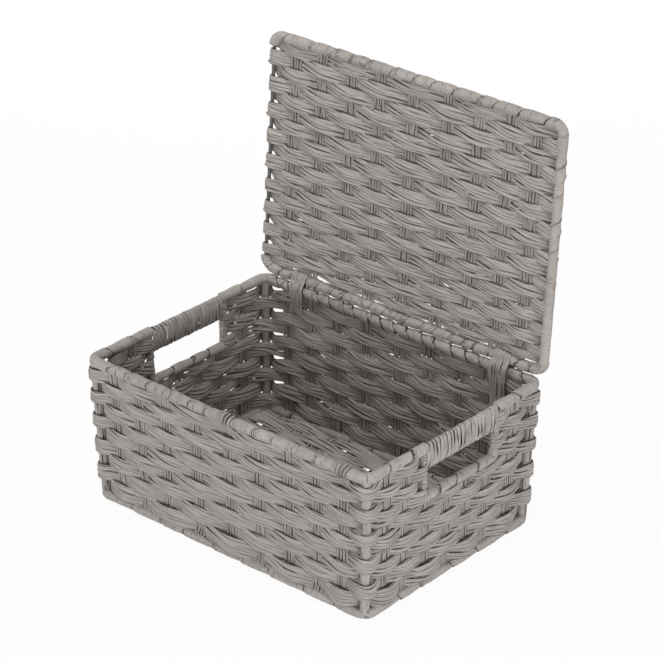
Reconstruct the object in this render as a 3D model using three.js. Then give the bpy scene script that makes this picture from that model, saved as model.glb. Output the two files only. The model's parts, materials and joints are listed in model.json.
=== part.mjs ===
// Lidded storage basket: flat paper cord woven on a frame of steel wire, lid tied to the back rim.
// X runs along the front, Y from front to back, Z up. The basket stands on z = 0, lid open.
import * as THREE from 'three';

// Basket frame, measured between wire centres
const rimLength = 350;
const rimDepth = 246;
const wallHeight = 145;
const lengthTaper = 5.2; // how far each short wall leans in at the base
const depthTaper = 4.5; // how far each long wall leans in at the base
const cornerRadius = 10;
const wireRadius = 2;

// Cord
const cordThickness = 1.4;
const fitGap = 0.3; // air between one piece and the next
const rowGap = 0.6; // air between one woven row and the next
const longStakeWidth = 14;
const shortStakeWidth = 13;
const cornerProud = 1.5; // how far an outer row stands past the corner of the wall planes

// Hand slots, in both short walls
const handleLength = 104.8; // between the centres of the slot's side bars
const handleSetback = 7.4; // from the middle of the wall towards the back
const gripDrop = 19; // rim wire to the handle frame's top bar
const slotDrop = 53; // rim wire to the handle frame's lower bar
const handleCornerRadius = 3;

// Lid
const lidOverhang = 2.5; // the lid's side wires past the rim wire
const lidFrontInset = 5.9; // the free edge behind the front rim wire, lid closed
const lidCornerRadius = 11;
const lidLean = THREE.MathUtils.degToRad(4); // past upright, as it stands open
const hingeSetback = 3.9; // the lid's rear rail behind the back rim wire
const lidGap = 0.7; // air between the closed lid's rail and the rim

// Bindings: turns of cord along each rail, and the slit between two turns
const bindingSlit = 1.7;
const gripSlit = 0.6;
const longRailTurns = 7;
const shortRailTurns = 5;
const rimPieceTurns = 2;
const barTurns = 4;
const gripTurns = 15;
const tieTurns = 2;

// Places of the stakes and rows, as shares
const longStakeShares = [0.091, 0.178, 0.280, 0.390, 0.515, 0.621, 0.731, 0.830, 0.920];
const outerStakeShares = [0.119, 0.216, 0.859]; // stakes of a short wall that reach the rim
const slotStakeShares = [0, 0.35, 0.68, 1]; // stakes that hang from the slot's lower bar, within its span
const lidStakeShares = [0.083, 0.178, 0.288, 0.386, 0.504, 0.625, 0.731, 0.833, 0.917];
const upperRowShares = [0, 0.208, 0.448, 0.712, 1]; // row edges from the rim to the slot's foot
const lowerRowShares = [0, 0.143, 0.32, 0.498, 0.662, 0.846, 1]; // and on to the base
const lidRowShares = [
  0.064, 0.120, 0.1765, 0.234, 0.2885, 0.343, 0.399, 0.456, 0.511,
  0.563, 0.616, 0.6665, 0.7145, 0.762, 0.8095, 0.8565, 0.9005, 0.9395,
]; // edges between the lid's rows, from the free edge to the hinge
const floorRowCount = 16;
const rowsPerStrand = 4;
const stakesBeforeSlot = 2; // stakes of a short wall in front of the hand slot

// Facets
const wireSides = 8;
const arcSteps = 4;
const wrapSides = 6;
const hookSides = 4; // of those, the sides that a cord's end keeps round a rail
const tieSides = 8;

// Sizes that follow
const wrapAngle = (2 * Math.PI) / wrapSides;
const hexagon = Math.cos(Math.PI / wrapSides); // flat radius of a hexagon over its corner radius
const octagon = Math.cos(Math.PI / tieSides);
const halfCord = cordThickness / 2;
const bindMiddle = wireRadius + fitGap + halfCord;
const bindOuter = bindMiddle + halfCord;
const wrapMiddle = bindOuter + fitGap + halfCord;
const wrapOuter = wrapMiddle + halfCord;
const wrapCorner = wrapOuter / hexagon;
const stakeTurn = wrapCorner + fitGap + halfCord; // where a stake leaves the panel's plane
const rowStart = stakeTurn + fitGap;
const hingeRise = wrapOuter + wrapCorner + lidGap;
const lidLength = rimLength + 2 * lidOverhang;
const lidDepth = rimDepth + hingeSetback - lidFrontInset;
const baseHeight = wrapOuter; // base wire above the ground
const postInset = cornerRadius * (1 - Math.SQRT1_2);
const insideCorner = postInset + wireRadius + halfCord; // an inner row's inset at a corner post
const tieOuter = (wrapCorner + fitGap + cordThickness) / octagon;
const tieLean = Math.atan2(hingeSetback, hingeRise);

// Walls: where a point is, from its share along the wall, its height over the base wire and its offset
const rise = (height) => 1 - height / wallHeight;
const halfLength = (height) => rimLength / 2 - lengthTaper * rise(height);
const halfDepth = (height) => rimDepth / 2 - depthTaper * rise(height);

const lengthways = new THREE.Vector3(1, 0, 0);
const depthways = new THREE.Vector3(0, 1, 0);
const up = new THREE.Vector3(0, 0, 1);
const walls = {
  front: { out: depthways.clone().negate(), along: lengthways, span: halfLength, reach: halfDepth },
  back: { out: depthways, along: lengthways, span: halfLength, reach: halfDepth },
  left: { out: lengthways.clone().negate(), along: depthways, span: halfDepth, reach: halfLength },
  right: { out: lengthways, along: depthways, span: halfDepth, reach: halfLength },
};

function wallPoint(wall, share, height, offset) {
  const point = new THREE.Vector3();
  point.addScaledVector(wall.along, (2 * share - 1) * wall.span(height));
  point.addScaledVector(wall.out, wall.reach(height) + offset);
  point.addScaledVector(up, baseHeight + height);
  return point;
}

// A closed skin over rings of points, capped at both ends unless it closes on itself
function loft(rings, closed) {
  const count = rings[0].length;
  const positions = rings.flat().flatMap((point) => [point.x, point.y, point.z]);
  const index = [];
  const last = closed ? rings.length : rings.length - 1;
  for (let i = 0; i < last; i += 1) {
    const here = i * count;
    const next = ((i + 1) % rings.length) * count;
    for (let j = 0; j < count; j += 1) {
      const k = (j + 1) % count;
      index.push(here + j, here + k, next + k, here + j, next + k, next + j);
    }
  }
  if (!closed) {
    const end = (rings.length - 1) * count;
    for (let j = 1; j < count - 1; j += 1) {
      index.push(0, j + 1, j, end, end + j, end + j + 1);
    }
  }
  if (signedVolume(positions, index) < 0) index.reverse();
  const geometry = new THREE.BufferGeometry();
  geometry.setAttribute('position', new THREE.Float32BufferAttribute(positions, 3));
  geometry.setIndex(index);
  geometry.computeVertexNormals();
  return geometry;
}

function signedVolume(positions, index) {
  const corner = (k) => new THREE.Vector3().fromArray(positions, 3 * index[k]);
  let sum = 0;
  for (let k = 0; k < index.length; k += 3) {
    sum += corner(k).dot(corner(k + 1).cross(corner(k + 2)));
  }
  return sum;
}

// A flat ribbon through sections, each with a centre, a half thickness and a half width
function ribbon(sections, closed = false) {
  let last = sections[0].half;
  const rings = sections.map(({ centre, half, wide }) => {
    const face = half.clone().multiplyScalar(half.dot(last) < 0 ? -1 : 1);
    last = face;
    return [
      centre.clone().sub(face).sub(wide),
      centre.clone().add(face).sub(wide),
      centre.clone().add(face).add(wide),
      centre.clone().sub(face).add(wide),
    ];
  });
  return loft(rings, closed);
}

// A round wire along points, with the direction that is square to its bends
function rod(points, flat, closed) {
  const count = points.length;
  const rings = points.map((point, i) => {
    const before = closed || i > 0 ? points[(i + count - 1) % count] : point;
    const after = closed || i < count - 1 ? points[(i + 1) % count] : point;
    const side = after.clone().sub(before).cross(flat).normalize();
    const lift = side.clone().cross(after.clone().sub(before)).normalize();
    return Array.from({ length: wireSides }, (_, k) => {
      const angle = (2 * Math.PI * (k + 1 / 2)) / wireSides;
      const ring = point.clone().addScaledVector(side, wireRadius * Math.cos(angle));
      return ring.addScaledVector(lift, wireRadius * Math.sin(angle));
    });
  });
  return loft(rings, closed);
}

// The corners of a rectangle turned into arcs, as points in its own plane
function roundedLoop(left, right, low, high, radius) {
  const corners = [[right, high, 0], [left, high, 1], [left, low, 2], [right, low, 3]];
  return corners.flatMap(([x, y, quarter]) => {
    const start = (quarter * Math.PI) / 2;
    const inX = x === right ? x - radius : x + radius;
    const inY = y === high ? y - radius : y + radius;
    return Array.from({ length: arcSteps + 1 }, (_, k) => {
      const angle = start + (k * Math.PI) / 2 / arcSteps;
      return [inX + radius * Math.cos(angle), inY + radius * Math.sin(angle)];
    });
  });
}

// Corners of a ring of cord round one rail or two, each with its half thickness, in the plane across it
function hexagonRing(radius, firstAngle) {
  return Array.from({ length: wrapSides }, (_, k) => {
    const angle = firstAngle + k * wrapAngle;
    const spoke = new THREE.Vector2(Math.cos(angle), Math.sin(angle));
    const at = spoke.clone().multiplyScalar(radius / hexagon);
    return { at, half: spoke.multiplyScalar(halfCord / hexagon) };
  });
}

// Cord wound along a straight rail: sections advance evenly, one corner of the ring after another
function winding(name, ring, { turns, slit, from, to }, place, across, axis) {
  const width = (to - from - turns * slit) / (turns + 1);
  const steps = turns * ring.length;
  const sections = Array.from({ length: steps + 1 }, (_, i) => {
    const corner = ring[i % ring.length];
    const along = from + width / 2 + ((to - from - width) * i) / steps;
    const half = across[0].clone().multiplyScalar(corner.half.x).addScaledVector(across[1], corner.half.y);
    const centre = place(along);
    centre.addScaledVector(across[0], corner.at.x).addScaledVector(across[1], corner.at.y);
    return { centre, half, wide: axis.clone().multiplyScalar(width / 2) };
  });
  console.log(`${name}: least gap to itself ${leastGap(sections, ring.length).toFixed(2)} mm`);
  return ribbon(sections);
}

// The least distance from the trailing edge of one turn to the leading edge of the next, on points
function leastGap(sections, stepsPerTurn) {
  const samples = 8;
  const edge = (sign, face) => {
    const points = [];
    for (let i = 0; i < sections.length - 1; i += 1) {
      for (let k = 0; k < samples; k += 1) {
        const ends = [sections[i], sections[i + 1]].map(({ centre, half, wide }) => (
          centre.clone().addScaledVector(half, face).addScaledVector(wide, sign)));
        points.push(ends[0].lerp(ends[1], k / samples));
      }
    }
    return points;
  };
  let least = Infinity;
  [-1, 1].forEach((face) => {
    const right = edge(1, face);
    const left = edge(-1, face);
    const reach = stepsPerTurn * samples;
    right.forEach((point, i) => {
      for (let j = i + reach / 2; j < Math.min(left.length, i + (3 * reach) / 2); j += 1) {
        least = Math.min(least, point.distanceTo(left[j]));
      }
    });
  });
  return least;
}

// Stakes turn over a rail on a hexagon. The rail frame gives the point at (along, offset, outwards),
// and the panel lies on its inward side.
function turnOver(rail, from, to, side, sides = wrapSides) {
  const wide = rail.axis.clone().multiplyScalar(rail.stakeWidth / 2);
  return Array.from({ length: sides }, (_, k) => {
    const angle = (k - 1) * wrapAngle;
    const spoke = rail.out.clone().multiplyScalar(side * Math.cos(angle));
    spoke.addScaledVector(rail.away, Math.sin(angle));
    const centre = rail.at(from + ((to - from) * k) / (wrapSides - 1));
    centre.addScaledVector(spoke, wrapMiddle / hexagon);
    return { centre, half: spoke.multiplyScalar(halfCord / hexagon), wide };
  });
}

// One end of a stake, where it leaves the panel's plane for the rail
function stakeEnd(centre, rail) {
  return {
    centre,
    half: rail.out.clone().multiplyScalar(halfCord),
    wide: rail.axis.clone().multiplyScalar(rail.stakeWidth / 2),
  };
}

function wallRail(wall, height, away, stakeWidth) {
  return {
    out: wall.out,
    away: up.clone().multiplyScalar(away),
    axis: wall.along,
    stakeWidth,
    at: (share) => wallPoint(wall, share, height, 0),
    end: (share) => wallPoint(wall, share, height - away * stakeTurn, 0),
  };
}

// The nine long stakes: front wall, floor, back wall, and back again with the next stake
function longWarp() {
  const base = {
    front: wallRail(walls.front, 0, -1, longStakeWidth),
    back: wallRail(walls.back, 0, -1, longStakeWidth),
  };
  const rim = {
    front: wallRail(walls.front, wallHeight, 1, longStakeWidth),
    back: wallRail(walls.back, wallHeight, 1, longStakeWidth),
  };
  // From the wall round the outside of the base wire and into the floor
  const bend = (name, share) => {
    const rail = base[name];
    const turned = [1, 0, -1, -2].map((k) => {
      const angle = k * wrapAngle;
      const spoke = rail.out.clone().multiplyScalar(Math.cos(angle)).addScaledVector(up, Math.sin(angle));
      const centre = rail.at(share).addScaledVector(spoke, wrapMiddle / hexagon);
      return {
        centre,
        half: spoke.multiplyScalar(halfCord / hexagon),
        wide: rail.axis.clone().multiplyScalar(longStakeWidth / 2),
      };
    });
    const floorEnd = stakeEnd(rail.at(share).addScaledVector(rail.out, -stakeTurn), rail);
    floorEnd.half = up.clone().multiplyScalar(halfCord);
    return [stakeEnd(rail.end(share), rail), ...turned, floorEnd];
  };
  const sections = [];
  longStakeShares.forEach((share, i) => {
    const odd = i % 2 === 0;
    const [near, far] = odd ? ['back', 'front'] : ['front', 'back'];
    if (i === 0) sections.push(...turnOver(rim.back, share, share, 1, hookSides).reverse());
    sections.push(stakeEnd(rim[near].end(share), rim[near]), ...bend(near, share));
    sections.push(...bend(far, share).reverse(), stakeEnd(rim[far].end(share), rim[far]));
    const side = odd ? 1 : -1; // odd stakes leave outside the rim, where row 1 passes inside them
    if (i < longStakeShares.length - 1) {
      sections.push(...turnOver(rim[far], share, longStakeShares[i + 1], side));
    } else {
      sections.push(...turnOver(rim[far], share, share, side, hookSides));
    }
  });
  return ribbon(sections);
}

// Places along a short wall, as shares from its front end
const alongShort = (distance) => 1 / 2 + distance / rimDepth;
const frontBarShare = alongShort(handleSetback - handleLength / 2);
const backBarShare = alongShort(handleSetback + handleLength / 2);
const slotStakeInset = (wireRadius + 2 * fitGap + shortStakeWidth / 2) / rimDepth;
const slotStakeSpan = backBarShare - frontBarShare - 2 * slotStakeInset;
const slotStakes = slotStakeShares.map((share) => frontBarShare + slotStakeInset + share * slotStakeSpan);
const lastHung = stakesBeforeSlot + slotStakes.length;
const shortStakes = outerStakeShares.toSpliced(stakesBeforeSlot, 0, ...slotStakes);
const hangsFromBar = (number) => number > stakesBeforeSlot && number <= lastHung;

// The seven stakes of a short wall: up to the rim or the slot's lower bar, and down to the base
function shortWarp(wall) {
  const barHeight = wallHeight - slotDrop;
  const base = wallRail(wall, 0, -1, shortStakeWidth);
  const rim = wallRail(wall, wallHeight, 1, shortStakeWidth);
  const bar = wallRail(wall, barHeight, 1, shortStakeWidth);
  const sections = [...turnOver(base, shortStakes[0], shortStakes[0], -1, hookSides).reverse()];
  shortStakes.forEach((share, i) => {
    const number = i + 1;
    const odd = number % 2 === 1;
    const top = hangsFromBar(number) ? bar : rim;
    const ends = [stakeEnd(base.end(share), base), stakeEnd(top.end(share), top)];
    sections.push(...(odd ? ends : ends.reverse()));
    if (number === shortStakes.length) {
      sections.push(...turnOver(top, share, share, 1, hookSides));
    } else {
      sections.push(...turnOver(odd ? top : base, share, shortStakes[i + 1], 1));
    }
  });
  return ribbon(sections);
}

// How far a weaver swings off the panel's plane, so that it clears the stakes' edges
const swingClear = 2 * halfCord + 2 * fitGap;
function swing(places, stakeWidth) {
  const pitches = places.slice(1).map((place, i) => place - places[i]);
  return swingClear / (1 - stakeWidth / Math.min(...pitches));
}

// On a wall it also clears the stakes next to a corner, where it comes from inside the post
function wallSwing(shares, length, stakeWidth) {
  const ends = [shares[0], 1 - shares[shares.length - 1]].map((share) => share * length - insideCorner);
  const part = stakeWidth / 2 / Math.min(...ends);
  const fromCorner = (swingClear + part * insideCorner) / (1 - part);
  return Math.max(fromCorner, swing(shares.map((share) => share * length), stakeWidth));
}
const longSwing = wallSwing(longStakeShares, 2 * halfLength(0), longStakeWidth);
const shortSwing = wallSwing(shortStakes, 2 * halfDepth(0), shortStakeWidth);
const floorSwing = swing(longStakeShares.map((share) => share * 2 * halfLength(0)), longStakeWidth);
const lidSwing = swing(lidStakeShares.map((share) => share * lidLength), longStakeWidth);
const tieReach = tieOuter / Math.cos(tieLean) + (lidSwing + halfCord) * Math.tan(tieLean) + fitGap;

// The edges of a wall row, as heights over the base wire
const slotFoot = slotDrop + wireRadius + fitGap;
const lowerSpan = wallHeight - rowStart - slotFoot;
const rowEdges = [
  ...upperRowShares.map((share) => wallHeight - rowStart - share * (slotFoot - rowStart)),
  ...lowerRowShares.slice(1).map((share) => wallHeight - slotFoot - share * lowerSpan),
];

const besideTie = (number) => number <= 2 || number >= longStakeShares.length - 1;

function rowHeights(row, wall, number) {
  let top = rowEdges[row - 1];
  const bottom = rowEdges[row];
  const shortWall = wall === walls.left || wall === walls.right;
  if (row === upperRowShares.length && shortWall && hangsFromBar(number)) {
    top = wallHeight - slotDrop - rowStart;
  }
  if (row === 1 && wall === walls.back && besideTie(number)) top = wallHeight - tieReach;
  return [bottom + rowGap / 2, top - rowGap / 2];
}

// Where a row crosses one stake, on the side that its number and the stake's give
function wallCrossing(row, wall, share, number, reach) {
  const side = (row + number) % 2 === 0 ? -1 : 1;
  const [low, high] = rowHeights(row, wall, number);
  const bottom = wallPoint(wall, share, low, side * reach);
  const top = wallPoint(wall, share, high, side * reach);
  return {
    centre: bottom.clone().add(top).multiplyScalar(1 / 2),
    half: wall.out.clone().multiplyScalar(halfCord),
    wide: top.sub(bottom).multiplyScalar(1 / 2),
  };
}

// Odd rows pass outside a corner post, even rows inside it
function cornerCrossing(row, sideX, sideY) {
  const offset = row % 2 === 1 ? cornerProud : -insideCorner;
  const [low, high] = rowHeights(row, walls.front, 0);
  const at = (height) => new THREE.Vector3(
    sideX * (halfLength(height) + offset),
    sideY * (halfDepth(height) + offset),
    baseHeight + height,
  );
  return {
    centre: at(low).add(at(high)).multiplyScalar(1 / 2),
    half: new THREE.Vector3(sideX * halfCord, sideY * halfCord, 0),
    wide: at(high).sub(at(low)).multiplyScalar(1 / 2),
  };
}

const crossStakes = (row, wall, shares, reach, first = 1) => (
  shares.map((share, i) => wallCrossing(row, wall, share, first + i, reach)));
const barReach = wireRadius + 2 * fitGap + halfCord;

function ringWeaver(row) {
  return ribbon([
    ...crossStakes(row, walls.front, longStakeShares, longSwing),
    cornerCrossing(row, 1, -1),
    ...crossStakes(row, walls.right, shortStakes, shortSwing),
    cornerCrossing(row, 1, 1),
    ...crossStakes(row, walls.back, longStakeShares, longSwing).reverse(),
    cornerCrossing(row, -1, 1),
    ...crossStakes(row, walls.left, shortStakes, shortSwing).reverse(),
    cornerCrossing(row, -1, -1),
  ], true);
}

function frontWeaver(row) {
  const end = (wall) => [
    ...crossStakes(row, wall, shortStakes.slice(0, stakesBeforeSlot), shortSwing),
    wallCrossing(row, wall, frontBarShare, stakesBeforeSlot + 1, barReach),
  ];
  return ribbon([
    ...end(walls.left).reverse(),
    cornerCrossing(row, -1, -1),
    ...crossStakes(row, walls.front, longStakeShares, longSwing),
    cornerCrossing(row, 1, -1),
    ...end(walls.right),
  ]);
}

function backWeaver(row) {
  const end = (wall) => [
    wallCrossing(row, wall, backBarShare, lastHung, barReach),
    ...crossStakes(row, wall, shortStakes.slice(lastHung), shortSwing, lastHung + 1),
  ];
  return ribbon([
    ...end(walls.right),
    cornerCrossing(row, 1, 1),
    ...crossStakes(row, walls.back, longStakeShares, longSwing).reverse(),
    cornerCrossing(row, -1, 1),
    ...end(walls.left).reverse(),
  ]);
}

// Weavers that run back and forth over a flat panel. The panel gives its stakes' places along X, the
// edges of its rows, the turn at each end, and the point at (x, row direction, off its plane).
function strand(panel, firstRow, lastRow) {
  const sections = [];
  for (let row = firstRow; row <= lastRow; row += 1) {
    const forward = row % 2 === 1;
    const edges = (number) => panel.rowEdges(row, number);
    const crossings = panel.stakes.map((x, i) => {
      const side = (row + i + 1) % 2 === 0 ? 1 : -1;
      return panelSection(panel, x, edges(i + 1), side * panel.swing);
    });
    sections.push(...(forward ? crossings : crossings.reverse()));
    if (row < lastRow) sections.push(...panelTurn(panel, row, forward ? 1 : -1));
  }
  const start = panelTurn(panel, firstRow, -1, true);
  const end = panelTurn(panel, lastRow, lastRow % 2 === 1 ? 1 : -1, true);
  return ribbon([...start, ...sections, ...end]);
}

function panelSection(panel, x, [low, high], off) {
  return {
    centre: panel.point(x, (low + high) / 2, off),
    half: panel.normal.clone().multiplyScalar(halfCord),
    wide: panel.direction.clone().multiplyScalar((high - low) / 2),
  };
}

// The half turn at the end of a row, or only its first section where the strand ends
function panelTurn(panel, row, endSide, only = false) {
  const steps = panel.turnSteps;
  const sign = row % 2 === 1 ? -1 : 1; // odd rows reach the end wire behind it, even rows before it
  const here = panel.rowEdges(row, 0);
  const next = only ? here : panel.rowEdges(row + 1, 0);
  return Array.from({ length: only ? 1 : steps + 1 }, (_, k) => {
    const angle = sign * (Math.PI / 2 - (k * Math.PI) / steps);
    const stretch = 1 / Math.cos(Math.PI / 2 / steps);
    const part = k / steps;
    const [low, high] = [0, 1].map((edge) => here[edge] + (next[edge] - here[edge]) * part);
    const spoke = new THREE.Vector3(endSide * Math.cos(angle), 0, 0);
    spoke.addScaledVector(panel.normal, Math.sin(angle));
    const centre = panel.point(endSide * panel.turnAt, (low + high) / 2, 0);
    centre.addScaledVector(spoke, panel.turnRadius * stretch);
    return {
      centre,
      half: spoke.multiplyScalar(halfCord * stretch),
      wide: panel.direction.clone().multiplyScalar((high - low) / 2),
    };
  });
}

// Floor: the weavers fold back just inside the short base wires
const floorFold = halfCord + fitGap;
const floorStart = rowStart - halfDepth(0);
const floorPitch = (-2 * floorStart) / floorRowCount;
const floorPanel = {
  stakes: longStakeShares.map((share) => (2 * share - 1) * halfLength(0)),
  swing: floorSwing,
  normal: up,
  direction: depthways,
  turnAt: halfLength(0) - wrapCorner - fitGap - (floorFold + halfCord) / Math.SQRT1_2,
  turnRadius: floorFold,
  turnSteps: 2,
  point: (x, y, off) => new THREE.Vector3(x, y, baseHeight + off),
  rowEdges: (row) => [row - 1, row].map((edge, i) => (
    floorStart + edge * floorPitch + (i === 0 ? rowGap : -rowGap) / 2)),
};

// Lid, in its own frame: Y from the hinge to the free edge, Z out of the face that closes downwards.
// The weavers turn round its side wires.
const lidEdges = [
  lidDepth - rowStart,
  ...lidRowShares.map((share) => lidDepth * (1 - share)),
  rowStart,
];
const lidPanel = {
  stakes: lidStakeShares.map((share) => (share - 1 / 2) * lidLength),
  swing: lidSwing,
  normal: up,
  direction: depthways,
  turnAt: lidLength / 2,
  turnRadius: bindMiddle,
  turnSteps: 3,
  point: (x, y, off) => new THREE.Vector3(x, y, off),
  rowEdges: (row, number) => {
    const beside = row === lidEdges.length - 1 && number > 0 && besideTie(number);
    const low = beside ? tieReach : lidEdges[row];
    return [low + rowGap / 2, lidEdges[row - 1] - rowGap / 2];
  },
};

function lidRail(y, away) {
  return {
    out: up,
    away: depthways.clone().multiplyScalar(away),
    axis: lengthways,
    stakeWidth: longStakeWidth,
    at: (x) => new THREE.Vector3(x, y, 0),
    end: (x) => new THREE.Vector3(x, y - away * stakeTurn, 0),
  };
}

function lidWarp() {
  const free = lidRail(lidDepth, 1);
  const hinge = lidRail(0, -1);
  const [first] = lidPanel.stakes;
  const sections = [...turnOver(hinge, first, first, -1, hookSides).reverse()];
  lidPanel.stakes.forEach((x, i) => {
    const odd = i % 2 === 0;
    const [near, far] = odd ? [hinge, free] : [free, hinge];
    sections.push(stakeEnd(near.end(x), near), stakeEnd(far.end(x), far));
    const side = odd ? -1 : 1; // the rows next to both rails pass before odd stakes
    if (i < lidPanel.stakes.length - 1) {
      sections.push(...turnOver(far, x, lidPanel.stakes[i + 1], side));
    } else {
      sections.push(...turnOver(far, x, x, side, hookSides));
    }
  });
  return ribbon(sections);
}

// Rail bindings: hexagonal turns with a flat side down
const railRing = hexagonRing(bindMiddle, 0);

function railBinding(name, wall, height, from, to, turns) {
  const place = (along) => wallPoint(wall, 1 / 2, height, 0).addScaledVector(wall.along, along);
  const wound = { turns, slit: bindingSlit, from, to };
  return winding(name, railRing, wound, place, [wall.out, up], wall.along);
}

// The grip's turns go round the rim wire and the handle frame's top bar
function gripBinding(name, wall) {
  const ring = hexagonRing(bindMiddle, wrapAngle / 2).map(({ at, half }) => {
    const low = at.y < 0;
    return { at: new THREE.Vector2(at.x, low ? at.y - gripDrop : at.y), half };
  });
  const [from, to] = slotClear();
  const place = (along) => wallPoint(wall, 1 / 2, wallHeight, 0).addScaledVector(wall.along, along);
  const lean = up.clone().addScaledVector(wall.out, wallLean).normalize();
  const wound = { turns: gripTurns, slit: gripSlit, from, to };
  return winding(name, ring, wound, place, [wall.out, lean], wall.along);
}
const wallLean = lengthTaper / wallHeight;
const slotClear = () => {
  const inset = handleCornerRadius + 2 * fitGap;
  return [handleSetback - handleLength / 2 + inset, handleSetback + handleLength / 2 - inset];
};

function handleFrame(wall) {
  const half = handleLength / 2;
  const [front, back] = [handleSetback - half, handleSetback + half];
  const loop = roundedLoop(front, back, wallHeight - slotDrop, wallHeight - gripDrop, handleCornerRadius);
  const points = loop.map(([along, height]) => wallPoint(wall, alongShort(along), height, 0));
  return rod(points, wall.out, true);
}

function wireLoop(height) {
  const [reachX, reachY] = [halfLength(height), halfDepth(height)];
  const loop = roundedLoop(-reachX, reachX, -reachY, reachY, cornerRadius);
  return rod(loop.map(([x, y]) => new THREE.Vector3(x, y, baseHeight + height)), up, true);
}

function cornerPost(sideX, sideY) {
  const at = (height) => new THREE.Vector3(
    sideX * (halfLength(height) - postInset),
    sideY * (halfDepth(height) - postInset),
    baseHeight + height,
  );
  const clear = wireRadius + fitGap;
  return rod([at(clear), at(wallHeight - clear)], depthways, false);
}

// Hinge ties: cord wound round the back rim and the lid's rear rail, between two stakes, and close to
// what covers the rails there
function hingeTie(name, number, covered) {
  const edge = (i, side) => {
    const onRim = (2 * longStakeShares[i] - 1) * halfLength(wallHeight);
    return [onRim, lidPanel.stakes[i]].map((x) => x + (side * longStakeWidth) / 2);
  };
  const from = Math.max(...edge(number - 1, 1)) + fitGap;
  const to = Math.min(...edge(number, -1)) - fitGap;
  const link = new THREE.Vector2(hingeSetback, hingeRise);
  const ring = Array.from({ length: tieSides }, (_, k) => {
    const angle = link.angle() + (Math.PI / tieSides) * (2 * k + 1 - tieSides / 2);
    const spoke = new THREE.Vector2(Math.cos(angle), Math.sin(angle));
    const at = spoke.clone().multiplyScalar((covered + fitGap + halfCord) / octagon);
    if (k < tieSides / 2) at.add(link);
    return { at, half: spoke.multiplyScalar(halfCord / octagon) };
  });
  const place = (x) => wallPoint(walls.back, 1 / 2, wallHeight, 0).setX(x);
  const wound = { turns: tieTurns, slit: gripSlit, from, to };
  return winding(name, ring, wound, place, [depthways, up], lengthways);
}

// Finishes
const cord = { color: '#a29c96', roughness: 0.85, metalness: 0 };
const shadedCord = { color: '#918b85', roughness: 0.85, metalness: 0 };
const wire = { color: '#77736f', roughness: 0.5, metalness: 0.8 };

function add(group, name, geometry, finish) {
  const mesh = new THREE.Mesh(geometry, new THREE.MeshStandardMaterial(finish));
  mesh.name = name;
  group.add(mesh);
}

function addFrame(group) {
  add(group, 'rim_wire', wireLoop(wallHeight), wire);
  add(group, 'base_wire', wireLoop(0), wire);
  [['front_left', -1, -1], ['front_right', 1, -1], ['back_right', 1, 1], ['back_left', -1, 1]]
    .forEach(([place, x, y]) => add(group, `post_${place}`, cornerPost(x, y), wire));
  ['left', 'right'].forEach((side) => add(group, `handle_frame_${side}`, handleFrame(walls[side]), wire));
}

function addWeave(group) {
  add(group, 'warp_long', longWarp(), shadedCord);
  ['left', 'right'].forEach((side) => add(group, `warp_${side}`, shortWarp(walls[side]), shadedCord));
  for (let row = 1; row < rowEdges.length; row += 1) {
    if (row < upperRowShares.length) {
      add(group, `weaver_front_${row}`, frontWeaver(row), cord);
      add(group, `weaver_back_${row}`, backWeaver(row), cord);
    } else {
      add(group, `weaver_ring_${row}`, ringWeaver(row), cord);
    }
  }
  for (let first = 1; first <= floorRowCount; first += rowsPerStrand) {
    const last = Math.min(first + rowsPerStrand - 1, floorRowCount);
    add(group, `floor_weaver_${(first - 1) / rowsPerStrand + 1}`, strand(floorPanel, first, last), cord);
  }
}

function addBindings(group) {
  const straight = (half) => half - cornerRadius;
  [['rim', wallHeight], ['base', 0]].forEach(([rail, height]) => {
    ['front', 'back'].forEach((side) => {
      const name = `${rail}_binding_${side}`;
      const reach = straight(halfLength(height));
      add(group, name, railBinding(name, walls[side], height, -reach, reach, longRailTurns), cord);
    });
  });
  const [front, back] = slotClear();
  ['left', 'right'].forEach((side) => {
    const wall = walls[side];
    const baseReach = straight(halfDepth(0));
    const rimReach = straight(halfDepth(wallHeight));
    const pieces = [
      [`base_binding_${side}`, 0, -baseReach, baseReach, shortRailTurns],
      [`rim_binding_${side}_front`, wallHeight, -rimReach, front - 2 * fitGap, rimPieceTurns],
      [`rim_binding_${side}_back`, wallHeight, back + 2 * fitGap, rimReach, rimPieceTurns],
      [`bar_binding_${side}`, wallHeight - slotDrop, front, back, barTurns],
    ];
    pieces.forEach(([name, height, from, to, turns]) => {
      add(group, name, railBinding(name, wall, height, from, to, turns), cord);
    });
    const grip = `grip_binding_${side}`;
    add(group, grip, gripBinding(grip, wall), cord);
  });
  // No stake turns over the rails between the first two; the last two share one turn over each rail
  const ties = [
    ['hinge_tie_left', 1, bindOuter / hexagon],
    ['hinge_tie_right', longStakeShares.length - 1, wrapCorner],
  ];
  ties.forEach(([name, number, covered]) => add(group, name, hingeTie(name, number, covered), cord));
}

function addLid(group) {
  const loop = roundedLoop(-lidLength / 2, lidLength / 2, 0, lidDepth, lidCornerRadius);
  add(group, 'lid_wire', rod(loop.map(([x, y]) => new THREE.Vector3(x, y, 0)), up, true), wire);
  add(group, 'lid_warp', lidWarp(), shadedCord);
  const rows = lidEdges.length - 1;
  for (let first = 1; first <= rows; first += rowsPerStrand) {
    const last = Math.min(first + rowsPerStrand - 1, rows);
    add(group, `lid_weaver_${(first - 1) / rowsPerStrand + 1}`, strand(lidPanel, first, last), cord);
  }
  const reach = lidLength / 2 - lidCornerRadius;
  [['lid_binding_front', lidDepth], ['lid_binding_rear', 0]].forEach(([name, y]) => {
    const place = (x) => new THREE.Vector3(x, y, 0);
    const wound = { turns: longRailTurns, slit: bindingSlit, from: -reach, to: reach };
    add(group, name, winding(name, railRing, wound, place, [up, depthways], lengthways), cord);
  });
}

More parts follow.
